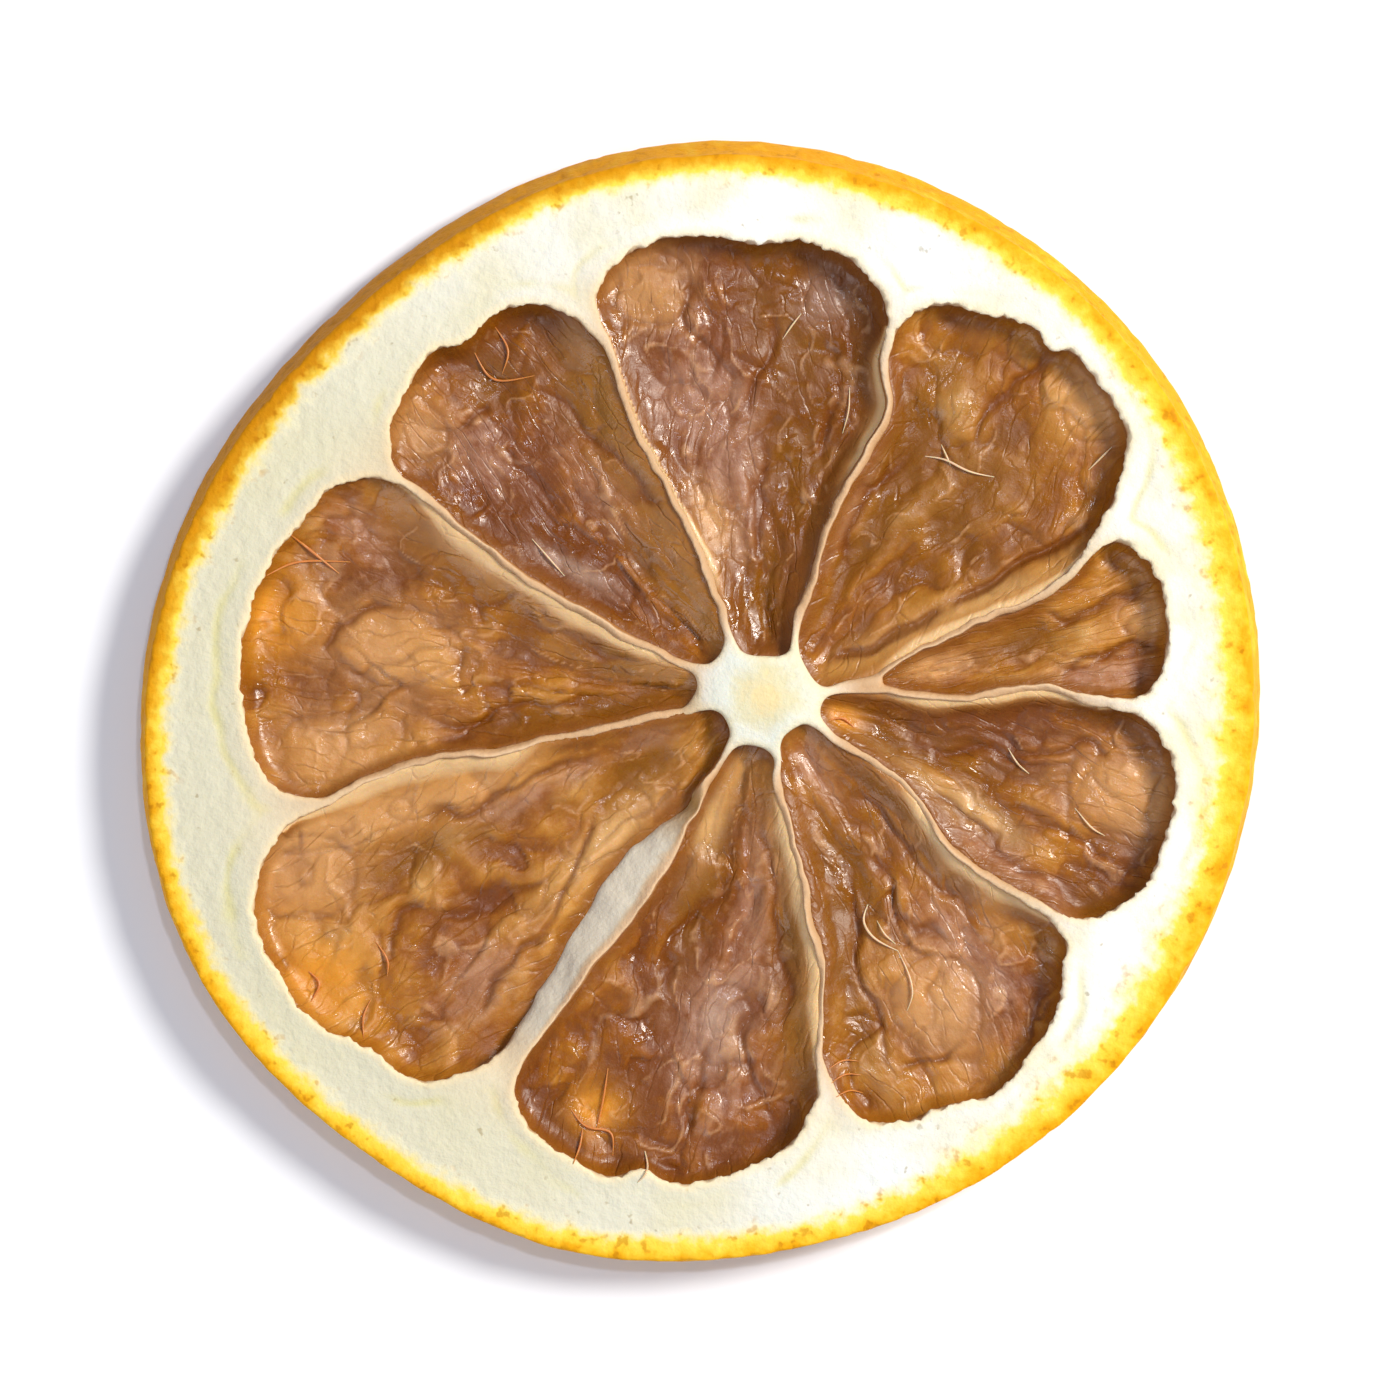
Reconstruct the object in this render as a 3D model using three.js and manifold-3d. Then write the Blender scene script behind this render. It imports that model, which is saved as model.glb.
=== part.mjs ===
// A dried slice of lemon, lying on its cut face: one solid of skin, pith, membranes, core and thin sunken flesh.
// Millimetres, +Z up. The ring of rind lies flat on z = 0, and the middle of the outline is over the origin.
// Bearings are in degrees, anticlockwise from +X.
import * as THREE from 'three';
import { mergeVertices } from 'three/addons/utils/BufferGeometryUtils.js';
import Module from 'manifold-3d';

const wasm = await Module();
wasm.setup();

// The ring of rind
const sliceRadius = 24.4; // over the skin, before the bumps below
const rimHeight = 3.4;
const rimWidth = 2.6; // level top of the ring, before it sinks towards the membranes
const topEdgeRadius = 0.5;
const sideLean = 0.9; // the wall is that much nearer the middle at its top than at its widest
const widestHeight = 1.2; // the wall bulges most at this height
const footWidth = 2.2; // flat stretch of the underside that the slice lies on
const footInset = 1.1; // from the widest part of the wall in to that flat stretch
const outlineBumps = [
  // where the dried outline is flatter or fuller than a circle
  { bearing: 132, rise: -1.3, spread: 23 },
  { bearing: 209, rise: 0.75, spread: 17 },
  { bearing: 256, rise: 0.5, spread: 12 },
  { bearing: 35, rise: 0.2, spread: 16 },
];

// The yellow skin, as seen from above: wider on the side where the wall leans more
const skinBand = 1.3;
const skinBandSway = 0.36;
const skinBandWidest = 35; // bearing

// The core and the nine membranes that run out from it
const coreX = 2.8; // the core grew off the middle
const coreY = -0.1;
const coreRadius = 2.0;
const coreDrop = 0.4; // from the ring's top down to the core's
const membraneDrop = 0.6;
const membraneLift = 0.25; // they and the core clear the surface that the ring lies on
const membraneThickness = 0.5;
const membraneEndPith = 4.6; // pith between a membrane's outer end and the skin

// The flesh, dried to a thin sheet between the membranes
const fleshLift = 0.8;
const fleshThickness = 1.0;
const narrowestFlesh = 0.5; // nearer the core, two membranes run together and there is no flesh between them

// One entry for each membrane and the segment that follows it anticlockwise. The membrane's bearings are at even
// steps from the core out to its end. The segment's outer edge is a bearing and the width of white pith there.
const segments = [
  { membrane: [5, 5, 2.5, -0.5, 0, 1.3, 1.7, -0.3, -1],
    pith: [[0, 3.7], [3, 2.9], [8, 2.5], [13, 2.3], [18, 2.4], [22, 3.1], [24.2, 4.1]] },
  { membrane: [4, 6, 10, 16, 18.5, 19.2, 19.8, 21.3, 24.2],
    pith: [[27, 4.1], [30, 3.0], [34, 1.7], [38, 1.1], [48, 1.0], [51, 1.5], [54, 1.4], [59, 2.1], [64, 2.7],
      [68, 3.6], [70, 4.8]] },
  { membrane: [58, 66.5, 69, 70, 69.3, 67.2, 66.5, 70.5, 72.2],
    pith: [[71.8, 4.9], [74.6, 3.6], [79, 2.9], [85, 2.6], [91.5, 3.1], [96, 2.8], [103, 2.8], [109, 3.4],
      [113, 4.5]] },
  { membrane: [122, 117, 115, 115.2, 115, 115.8, 114.8, 114.3, 114.2],
    pith: [[116.3, 5.5], [119, 4.1], [124, 3.2], [131, 3.4], [134, 3.0], [140, 3.6], [145, 4.4], [148.5, 5.8]] },
  { membrane: [159, 157.8, 156.5, 155.3, 153.8, 152.7, 151, 149.4, 148],
    pith: [[150.8, 5.3], [154, 4.1], [159, 3.8], [165, 3.3], [171, 3.1], [178, 3.4], [185, 3.9], [190, 4.8],
      [192.3, 6.2]] },
  { membrane: [187, 190, 190.8, 191.5, 192, 190.8, 191.3, 193.4, 194.5],
    pith: [[195, 5.3], [198, 3.9], [203, 2.6], [209, 2.2], [216, 2.1], [222, 2.9], [227, 2.9], [231, 4.2],
      [233.3, 6.1]] },
  { membrane: [232, 236, 238.5, 239.5, 238.5, 237.5, 236.8, 236, 236],
    pith: [[237.5, 4.8], [241, 3.7], [246, 3.1], [252, 2.6], [255.5, 3.1], [259, 2.4], [265, 2.6], [271, 3.1],
      [275, 4.1], [277.4, 5.5]] },
  { membrane: [277, 280, 281, 281.7, 282, 281.5, 279.8, 278.5, 279],
    pith: [[280.6, 4.8], [283, 3.5], [288, 2.7], [294, 2.4], [300, 1.6], [306, 1.9], [312, 2.3], [318, 3.3],
      [321.2, 4.1]] },
  { membrane: [333, 328.8, 328.2, 327.6, 323.5, 320.6, 321, 322.3, 322.3],
    pith: [[324.5, 3.9], [329, 2.7], [334, 1.9], [341, 1.8], [348, 1.9], [353, 2.5], [357, 3.8]] },
];

// Fineness of the facets, and how far a cutter runs past the surface that it cuts
const outlineSides = 64;
const pocketSides = 34;
const wallSteps = 8;
const cutterOverrun = 0.5;

const { degToRad, radToDeg, lerp } = THREE.MathUtils;

// Outline of the slice: its radius from the origin at a bearing.
function outlineRadius(bearing) {
  let radius = sliceRadius;
  for (const bump of outlineBumps) {
    const away = ((bearing - bump.bearing + 540) % 360) - 180;
    radius += bump.rise * Math.exp(-0.5 * (away / bump.spread) ** 2);
  }
  return radius;
}

// A point at a bearing and distance from the core.
function fromCore(bearing, distance) {
  const angle = degToRad(bearing);
  return new THREE.Vector3(coreX + distance * Math.cos(angle), coreY + distance * Math.sin(angle), 0);
}

// Distance from the core to the inner edge of the yellow skin, found by stepping until the ray meets the outline.
function skinReach(bearing) {
  let distance = sliceRadius;
  for (let step = 0; step < 12; step++) {
    const tip = fromCore(bearing, distance);
    const around = (radToDeg(Math.atan2(tip.y, tip.x)) + 360) % 360;
    distance += outlineRadius(around) - tip.length();
  }
  return distance - skinBand - skinBandSway * Math.cos(degToRad(bearing - skinBandWidest));
}

// Bearing and distance of a membrane's middle line, at a share of the way from the core out to its end.
function alongMembrane(membrane, share) {
  const steps = membrane.length - 1;
  const before = Math.min(Math.floor(share * steps), steps - 1);
  const bearing = lerp(membrane[before], membrane[before + 1], share * steps - before);
  const end = skinReach(membrane[steps]) - membraneEndPith;
  return { bearing, distance: lerp(coreRadius, end, share) };
}

// A point on a membrane's face. The side is +1 for its anticlockwise face and -1 for its clockwise face.
function membraneFace(membrane, share, side) {
  const { bearing, distance } = alongMembrane(membrane, share);
  return fromCore(bearing + side * radToDeg(membraneThickness / 2 / distance), distance);
}

// The closed outline of one segment: from its tip out along one membrane, round by the pith, back along the next.
function segmentOutline(index) {
  const { membrane, pith } = segments[index];
  const isLast = index === segments.length - 1;
  const next = isLast ? segments[0].membrane.map((bearing) => bearing + 360) : segments[index + 1].membrane;
  const shares = [];
  for (let step = 1; step < wallSteps; step++) {
    const share = step / wallSteps;
    const near = alongMembrane(membrane, share);
    const far = alongMembrane(next, share);
    const gap = degToRad(far.bearing - near.bearing) * near.distance - membraneThickness;
    if (gap > narrowestFlesh) shares.push(share);
  }
  const tip = alongMembrane(membrane, shares[0] - 0.7 / wallSteps);
  const points = [
    fromCore((tip.bearing + alongMembrane(next, shares[0] - 0.7 / wallSteps).bearing) / 2, tip.distance),
    ...shares.map((share) => membraneFace(membrane, share, 1)),
    ...pith.map(([bearing, width]) => fromCore(bearing, skinReach(bearing) - width)),
    ...shares.toReversed().map((share) => membraneFace(next, share, -1)),
  ];
  const curve = new THREE.CatmullRomCurve3(points, true, 'centripetal');
  return curve.getSpacedPoints(pocketSides).slice(0, pocketSides);
}

// A lathe form about the Z axis, from a profile of [radius, height] pairs. Each vertex is then placed by reshape,
// which gets its share of a turn, its radius and its height.
function reshapedLathe(profile, sides, reshape) {
  const geometry = new THREE.LatheGeometry(profile.map(([r, z]) => new THREE.Vector2(r, z)), sides);
  const position = geometry.attributes.position;
  for (let i = 0; i < position.count; i++) {
    const side = Math.floor(i / profile.length) % sides;
    const [radius, height] = profile[i % profile.length];
    const placed = reshape(side / sides, radius, height);
    position.setXYZ(i, placed.x, placed.y, placed.z);
  }
  return solidOf(geometry);
}

// A closed solid from a geometry. Triangles that shrink to a line on the lathe's axis are dropped.
function solidOf(geometry) {
  geometry.deleteAttribute('normal');
  geometry.deleteAttribute('uv');
  const merged = mergeVertices(geometry, 1e-4);
  const triangles = [];
  for (let i = 0; i < merged.index.count; i += 3) {
    const corners = [0, 1, 2].map((k) => merged.index.getX(i + k));
    if (new Set(corners).size === 3) triangles.push(...corners);
  }
  return new wasm.Manifold(new wasm.Mesh({
    numProp: 3,
    vertProperties: Float32Array.from(merged.attributes.position.array),
    triVerts: Uint32Array.from(triangles),
  }));
}

// The whole slice before its segments are hollowed: a low drum with a leaning, bulging wall and a slightly
// sunken middle on both faces.
function blank() {
  const footOuter = sliceRadius - footInset;
  const footInner = footOuter - footWidth;
  const rimOuter = sliceRadius - sideLean;
  const rimInner = rimOuter - topEdgeRadius - rimWidth;
  const profile = [
    [0, membraneLift],
    [footInner - 1.2, membraneLift],
    [footInner, 0],
    [footOuter, 0],
    [lerp(footOuter, sliceRadius, 0.75), widestHeight * 0.3],
    [sliceRadius, widestHeight],
    [lerp(rimOuter, sliceRadius, 0.6), lerp(widestHeight, rimHeight, 0.6)],
    [rimOuter, rimHeight - topEdgeRadius / 2],
    [rimOuter - topEdgeRadius, rimHeight],
    [rimInner, rimHeight - 0.1],
    [rimInner - 2.5, rimHeight - membraneDrop],
    [coreRadius * 2, rimHeight - membraneDrop],
    [0, rimHeight - coreDrop],
  ];
  return reshapedLathe(profile, outlineSides, (turn, radius, height) => {
    const reach = radius * outlineRadius(turn * 360) / sliceRadius;
    const angle = turn * 2 * Math.PI;
    return new THREE.Vector3(reach * Math.cos(angle), reach * Math.sin(angle), height);
  });
}

// A bowl with a segment's outline. It hollows the slice from one face down to a sheet of flesh. The profile's
// radii are shares of the way from the middle of the segment out to its edge.
function pocket(outline, profile) {
  const middle = outline.reduce((sum, p) => sum.add(p), new THREE.Vector3()).divideScalar(outline.length);
  return reshapedLathe(profile, outline.length, (turn, share, height) => {
    const edge = outline[Math.round(turn * outline.length)];
    return new THREE.Vector3(lerp(middle.x, edge.x, share), lerp(middle.y, edge.y, share), height);
  });
}

const fleshTop = fleshLift + fleshThickness;
const clearOfTop = rimHeight + cutterOverrun;
const upperBowl = [
  [0, fleshTop],
  [0.7, fleshTop + 0.05],
  [0.93, fleshTop + 0.4],
  [1, clearOfTop],
  [0, clearOfTop],
];
const lowerBowl = [
  [0, -cutterOverrun],
  [1, -cutterOverrun],
  [0.95, fleshLift * 0.6],
  [0.7, fleshLift],
  [0, fleshLift],
];

let slice = blank();
for (let index = 0; index < segments.length; index++) {
  const outline = segmentOutline(index);
  slice = slice.subtract(pocket(outline, upperBowl)).subtract(pocket(outline, lowerBowl));
}

const cut = slice.getMesh();
const sliceGeometry = new THREE.BufferGeometry();
sliceGeometry.setAttribute('position', new THREE.BufferAttribute(cut.vertProperties, 3));
sliceGeometry.setIndex(new THREE.BufferAttribute(cut.triVerts, 1));
sliceGeometry.computeVertexNormals();

// The outline's own middle goes over the origin.
sliceGeometry.computeBoundingBox();
const middle = sliceGeometry.boundingBox.getCenter(new THREE.Vector3());
sliceGeometry.translate(-middle.x, -middle.y, 0);

const lemonSlice = new THREE.Mesh(
  sliceGeometry,
  new THREE.MeshStandardMaterial({ color: '#e3b04a', roughness: 0.6, metalness: 0 }),
);
lemonSlice.name = 'lemon_slice';

const slicePart = new THREE.Group();
slicePart.add(lemonSlice);
export default slicePart;
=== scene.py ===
import math

import bpy
import numpy as np
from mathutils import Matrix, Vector, kdtree, noise


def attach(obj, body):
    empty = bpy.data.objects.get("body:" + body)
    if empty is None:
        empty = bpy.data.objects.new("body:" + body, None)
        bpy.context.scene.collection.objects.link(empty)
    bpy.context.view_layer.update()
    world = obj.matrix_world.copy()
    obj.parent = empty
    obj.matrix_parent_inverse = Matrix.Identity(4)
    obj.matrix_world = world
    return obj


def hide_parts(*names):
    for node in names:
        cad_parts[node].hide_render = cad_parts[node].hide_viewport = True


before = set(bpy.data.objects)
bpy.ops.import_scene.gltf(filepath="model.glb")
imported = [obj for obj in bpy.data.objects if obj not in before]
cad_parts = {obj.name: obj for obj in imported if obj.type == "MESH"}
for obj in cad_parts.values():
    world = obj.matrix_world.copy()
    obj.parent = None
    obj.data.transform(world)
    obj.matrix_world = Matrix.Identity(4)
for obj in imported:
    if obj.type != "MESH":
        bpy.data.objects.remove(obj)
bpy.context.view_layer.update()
bpy.ops.object.select_all(action="DESELECT")

# ------------------------------------------------------------
# Rind, pith, core and membranes.
# The white skeleton of a lemon wheel, in one piece as it grew: waxy yellow skin round spongy pith, and nine
# papery membranes from the core to the pith. Drying has sunk the membranes below the ring and bent them.

MM = 0.001

SLICE_RADIUS = 24.4
RING_HEIGHT = 3.36
OUTLINE_BUMPS = ((132, -1.3, 23), (209, 0.75, 17), (256, 0.5, 12), (35, 0.2, 16))  # bearing, rise, spread
SKIN_BAND = 1.3  # mean width of the yellow skin from above
SKIN_SWAY = 0.36  # how much wider it gets on one side and narrower on the other
SKIN_WIDEST = 35  # the bearing of its widest place
CORE = np.array((2.8, -0.1))
CORE_RADIUS = 2.0
MEMBRANE = 0.5  # thickness at its foot
MEMBRANE_END = 4.6  # pith between a membrane's outer end and the skin
NARROWEST_FLESH = 0.4
WALL_STEPS = 8  # steps from a membrane's inner end to its outer end
SHOULDER = 0.32  # how far out from its tip a segment's flesh is already wide
NO_SHOULDER = 3.2  # a segment whose walls start nearer to the core's middle than this keeps a plain tip

# How near each segment's flesh comes to the core's middle, and where a shred of pith hangs in over it.
TIPS = (4.75, 2.15, 1.75, 2.7, 3.0, 2.0, 2.2, 1.85, 2.45)
LIP_TEETH = ((2.6, 19.9), (15.6, 15.4), (-10.3, 14.3), (-9.6, -18.0), (8.1, -19.1))

# Each membrane's bearings in degrees at the steps from the core out, how many degrees its clockwise face
# leans out at the same steps, and the outer edge of the segment after it: bearings and widths of pith.
UPRIGHT = (0, 0, 0, 0, 0, 0, 0, 0, 0)
SEGMENTS = (
    ((5, 5, 2.5, -0.5, 0, 1.3, 1.7, -0.3, -1), UPRIGHT,
     ((0, 3.7), (3, 2.9), (8, 2.5), (13, 2.3), (18, 2.4), (22, 3.1), (24.2, 4.1))),
    ((5, 7.5, 12.6, 17.6, 18.5, 19.2, 19.8, 21.3, 24.2), UPRIGHT,
     ((27, 4.1), (30, 3.0), (34, 1.7), (38, 1.1), (48, 1.0), (51, 1.5), (54, 1.4), (59, 2.1), (64, 2.7),
      (68, 3.6), (70, 4.8))),
    ((58, 66.5, 69, 70, 69.3, 67.2, 66.5, 70.5, 72.2), UPRIGHT,
     ((71.8, 4.9), (74.6, 3.6), (79, 2.9), (85, 2.6), (91.5, 3.1), (96, 2.8), (103, 2.8), (109, 3.4),
      (113, 4.5))),
    ((122, 117, 115, 115.2, 115, 115.8, 114.8, 114.3, 114.2), UPRIGHT,
     ((116.3, 5.5), (119, 4.1), (124, 3.2), (131, 3.4), (134, 3.0), (140, 3.6), (145, 4.4), (148.5, 5.8))),
    ((159, 157.8, 156.5, 155.3, 153.8, 152.7, 151, 149.4, 148), UPRIGHT,
     ((150.8, 5.3), (154, 4.1), (159, 3.8), (165, 3.3), (171, 3.1), (178, 3.4), (185, 3.9), (190, 4.8),
      (192.3, 6.2))),
    ((187, 190, 190.8, 191.5, 192, 190.8, 191.3, 193.4, 194.5), UPRIGHT,
     ((195, 5.3), (198, 3.9), (203, 2.6), (209, 2.2), (216, 2.1), (222, 2.9), (227, 2.9), (231, 4.2),
      (233.3, 6.1))),
    ((232, 236, 238.5, 239.5, 238.5, 237.5, 236.8, 236, 236), (0, 0, 5, 10, 8.3, 6, 3.7, 2, 0.6),
     ((237.5, 4.8), (241, 3.7), (246, 3.1), (252, 2.6), (255.5, 3.1), (259, 2.4), (265, 2.6), (271, 3.1),
      (275, 4.1), (277.4, 5.5))),
    ((277, 280, 281, 281.7, 282, 281.5, 279.8, 278.5, 279), UPRIGHT,
     ((280.6, 4.8), (283, 3.5), (288, 2.7), (294, 2.4), (300, 1.6), (306, 1.9), (312, 2.3), (318, 3.3),
      (321.2, 4.1))),
    ((333, 328.8, 328.2, 327.6, 323.5, 320.6, 321, 322.3, 322.3), UPRIGHT,
     ((324.5, 3.9), (329, 2.7), (334, 1.9), (341, 1.8), (348, 1.9), (353, 2.5), (357, 3.8))),
)


def outline_radius(bearing):
    """Radius of the slice's outline from the middle at each bearing."""
    radius = np.full(np.shape(bearing), float(SLICE_RADIUS))
    for at, rise, spread in OUTLINE_BUMPS:
        away = (np.asarray(bearing) - at + 540) % 360 - 180
        radius = radius + rise * np.exp(-0.5 * (away / spread) ** 2)
    return radius


def from_core(bearing, distance):
    """Points at a bearing and distance from the core."""
    angle = np.radians(bearing)
    return CORE + np.stack((np.cos(angle), np.sin(angle)), axis=-1) * np.asarray(distance)[..., None]


def skin_reach(bearing):
    """Distance from the core to the inner edge of the yellow skin, drawn to the outline in a few rounds."""
    distance = np.full(np.shape(bearing), float(SLICE_RADIUS))
    for _ in range(12):
        tip = from_core(bearing, distance)
        around = np.degrees(np.arctan2(tip[..., 1], tip[..., 0])) % 360
        distance = distance + outline_radius(around) - np.hypot(tip[..., 0], tip[..., 1])
    return distance - SKIN_BAND - SKIN_SWAY * np.cos(np.radians(np.asarray(bearing) - SKIN_WIDEST))


def membrane_line(index, share):
    """Bearing, lean and distance of a membrane at shares of its way out. Index 9 is the first one again."""
    bearings, leans, _ = SEGMENTS[index % len(SEGMENTS)]
    steps = np.linspace(0, 1, len(bearings))
    end = skin_reach(float(bearings[-1])) - MEMBRANE_END
    around = 360 * (index // len(SEGMENTS))
    return (np.interp(share, steps, bearings) + around, np.interp(share, steps, leans),
            CORE_RADIUS + share * (end - CORE_RADIUS))


def membrane_face(index, share, side):
    """A point on a membrane's anticlockwise face (side 1) or clockwise face (side -1)."""
    bearing, lean, distance = membrane_line(index, share)
    half = math.degrees(MEMBRANE / 2 / distance)
    return from_core(bearing + half if side > 0 else bearing - half - lean, distance)


def smooth_loop(corners, count):
    """A closed centripetal Catmull-Rom curve through the corners, as count evenly spaced points."""
    p = [np.roll(corners, shift, axis=0)[:, None] for shift in (1, 0, -1, -2)]
    t = [np.zeros_like(p[0][..., :1])]
    for before, after in zip(p, p[1:]):
        t.append(t[-1] + np.sqrt(np.linalg.norm(after - before, axis=-1, keepdims=True)))
    at = t[1] + (t[2] - t[1]) * np.linspace(0, 1, 24, endpoint=False)[None, :, None]

    def between(a, b, ta, tb):
        return ((tb - at) * a + (at - ta) * b) / (tb - ta)

    a = [between(p[i], p[i + 1], t[i], t[i + 1]) for i in range(3)]
    b = [between(a[i], a[i + 1], t[i], t[i + 2]) for i in range(2)]
    fine = between(b[0], b[1], t[1], t[2]).reshape(-1, 2)
    fine = np.vstack((fine, fine[:1]))
    run = np.concatenate(([0], np.cumsum(np.linalg.norm(np.diff(fine, axis=0), axis=1))))
    stops = np.linspace(0, run[-1], count, endpoint=False)
    return np.stack([np.interp(stops, run, fine[:, axis]) for axis in (0, 1)], axis=1)


def segment_loop(index, count):
    """The outline of one segment's flesh, anticlockwise from its tip."""
    shares = []
    for step in range(1, WALL_STEPS):
        share = step / WALL_STEPS
        near, _, distance = membrane_line(index, share)
        far, lean, _ = membrane_line(index + 1, share)
        if math.radians(far - lean - near) * distance - MEMBRANE > NARROWEST_FLESH:
            shares.append(share)
    end = membrane_line(index, 1)[2]
    tip_share = (TIPS[index] - CORE_RADIUS) / (end - CORE_RADIUS)
    if membrane_line(index, shares[0])[2] > NO_SHOULDER and index:
        shares.insert(0, tip_share + SHOULDER / (end - CORE_RADIUS))
    near, far = membrane_line(index, tip_share)[0], membrane_line(index + 1, tip_share)[0]
    corners = [from_core((near + far) / 2, np.array(TIPS[index]))]
    corners += [membrane_face(index, share, 1) for share in shares]
    corners += [from_core(bearing, skin_reach(bearing) - width) for bearing, width in SEGMENTS[index][2]]
    corners += [membrane_face(index + 1, share, -1) for share in reversed(shares)]
    return smooth_loop(np.array(corners), count)


# The shapes are worked out round the middle of a round wheel. SHIFT then brings the middle of the true
# outline, which is a little flat on one side, over the origin.
LOOP_POINTS = 460
around = np.arange(0, 360, 0.5)
spokes = np.stack((np.cos(np.radians(around)), np.sin(np.radians(around))), 1)
skin_loop = outline_radius(around)[:, None] * spokes
SHIFT = (skin_loop.max(axis=0) + skin_loop.min(axis=0)) / 2
segment_loops = [segment_loop(index, LOOP_POINTS) for index in range(len(SEGMENTS))]


def prism(name, loops, height):
    """A straight-walled solid on z = 0. The first loop is its outline and the others are holes."""
    curve = bpy.data.curves.new(name, "CURVE")
    curve.dimensions = "2D"
    curve.fill_mode = "BOTH"
    curve.extrude = height / 2 * MM
    for loop in loops:
        spline = curve.splines.new("POLY")
        spline.points.add(len(loop) - 1)
        level, weight = np.zeros((len(loop), 1)), np.ones((len(loop), 1))
        spline.points.foreach_set("co", np.hstack((loop * MM, level, weight)).ravel())
        spline.use_cyclic_u = True
    piece = bpy.data.objects.new(name, curve)
    bpy.context.scene.collection.objects.link(piece)
    piece.location.z = height / 2 * MM
    bpy.ops.object.select_all(action="DESELECT")
    piece.select_set(True)
    bpy.context.view_layer.objects.active = piece
    bpy.ops.object.convert(target="MESH")
    piece = bpy.context.view_layer.objects.active
    bpy.ops.object.transform_apply(location=True, rotation=False, scale=False)
    bpy.ops.object.mode_set(mode="EDIT")
    bpy.ops.mesh.select_all(action="SELECT")
    bpy.ops.mesh.remove_doubles(threshold=1e-7)
    bpy.ops.mesh.normals_make_consistent(inside=False)
    bpy.ops.object.mode_set(mode="OBJECT")
    return piece


def apply_modifier(piece, kind, **settings):
    """Adds a modifier with its settings and applies it."""
    bpy.context.view_layer.objects.active = piece
    modifier = piece.modifiers.new(kind.lower(), kind)
    for name, value in settings.items():
        setattr(modifier, name, value)
    bpy.ops.object.modifier_apply(modifier=modifier.name)


def places(piece):
    """The piece's vertices in millimetres."""
    flat = np.empty(len(piece.data.vertices) * 3)
    piece.data.vertices.foreach_get("co", flat)
    return flat.reshape(-1, 3) / MM


def move_to(piece, points):
    """Puts the piece's vertices at points given in millimetres."""
    piece.data.vertices.foreach_set("co", (points * MM).ravel())
    piece.data.update()


def keep(piece, name, values):
    """Stores one number for each vertex, for a material to read."""
    attribute = piece.data.attributes.new(name, "FLOAT", "POINT")
    attribute.data.foreach_set("value", np.asarray(values, dtype=np.float32))


def ease(low, high, value):
    """0 below low, 1 above high, and a smooth step between."""
    part = np.clip((value - low) / (high - low), 0, 1)
    return part * part * (3 - 2 * part)


def wander(points, size, seed, depth=2):
    """Soft noise from about -1 to 1 with features of the given size in millimetres."""
    shift = Vector((seed * 17.3, seed * 5.1, seed * 9.7))
    return np.array([noise.fractal(Vector(p) / size + shift, 0.9, 2.1, depth) for p in points.tolist()])


def waver(points):
    """How far the membranes bend sideways at each place."""
    return 0.2 * wander(np.column_stack((points[:, :2], np.zeros(len(points)))), 1.7, 5, 2)


def loop_tree(loops):
    """A search tree over the points of some loops."""
    points = np.vstack(loops)
    tree = kdtree.KDTree(len(points))
    for i, (x, y) in enumerate(points.tolist()):
        tree.insert((x, y, 0), i)
    tree.balance()
    return tree


def nearest(tree, points):
    """For each point, the index of the nearest loop point and its distance."""
    found = [tree.find((x, y, 0)) for x, y in points[:, :2].tolist()]
    return np.array([f[1] for f in found]), np.array([f[2] for f in found])


SKELETON_VOXEL = 0.15
SKELETON_KEPT = 0.56  # share of the faces that stays when the finished mesh is thinned
HIGHEST = 3.4  # nothing stands higher than this
RING_TOP = RING_HEIGHT - 0.12  # mean height of the ring's upper face
MEMBRANE_TOP = 2.74  # mean height of the membranes' upper edges
MEMBRANE_FOOT = 0.36  # and of their lower edges
CORE_RISE = 0.3  # how much higher the core stands than the membranes
LEANING = 6  # the membrane that leans over, counted from 0
LEAN_DROP = 1.0  # how far its pale face slopes down
CREST_THINNING = 0.1  # how much of a membrane's face is gone at its upper and lower edges
WALL_TUCK = 0.05  # keeps the wrinkled side wall inside the true outline
GLAND_SPACING = 0.95
GLAND_DEPTH = 0.07

segment_tree = loop_tree(segment_loops)

skeleton = prism("rind_pith_and_membranes", [skin_loop, *segment_loops], RING_HEIGHT)
apply_modifier(skeleton, "REMESH", mode="VOXEL", voxel_size=SKELETON_VOXEL * MM)
apply_modifier(skeleton, "SMOOTH", factor=0.5, iterations=3)
p = places(skeleton)

rise = np.clip(p[:, 2] / RING_HEIGHT, 0, 1)  # share of the way from the lower face to the upper
bearing = np.degrees(np.arctan2(p[:, 1], p[:, 0])) % 360
skin_depth = np.maximum(outline_radius(bearing) - np.hypot(p[:, 0], p[:, 1]), 0)
from_middle = p[:, :2] - CORE
core_bearing = np.degrees(np.arctan2(from_middle[:, 1], from_middle[:, 0])) % 360
core_distance = np.hypot(from_middle[:, 0], from_middle[:, 1])
close, edge = nearest(segment_tree, p)
web = 1 - ease(0.72, 1.12, core_distance / (skin_reach(core_bearing) - MEMBRANE_END))
flat_noise = np.hstack((p[:, :2], rise[:, None] * 3))

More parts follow.
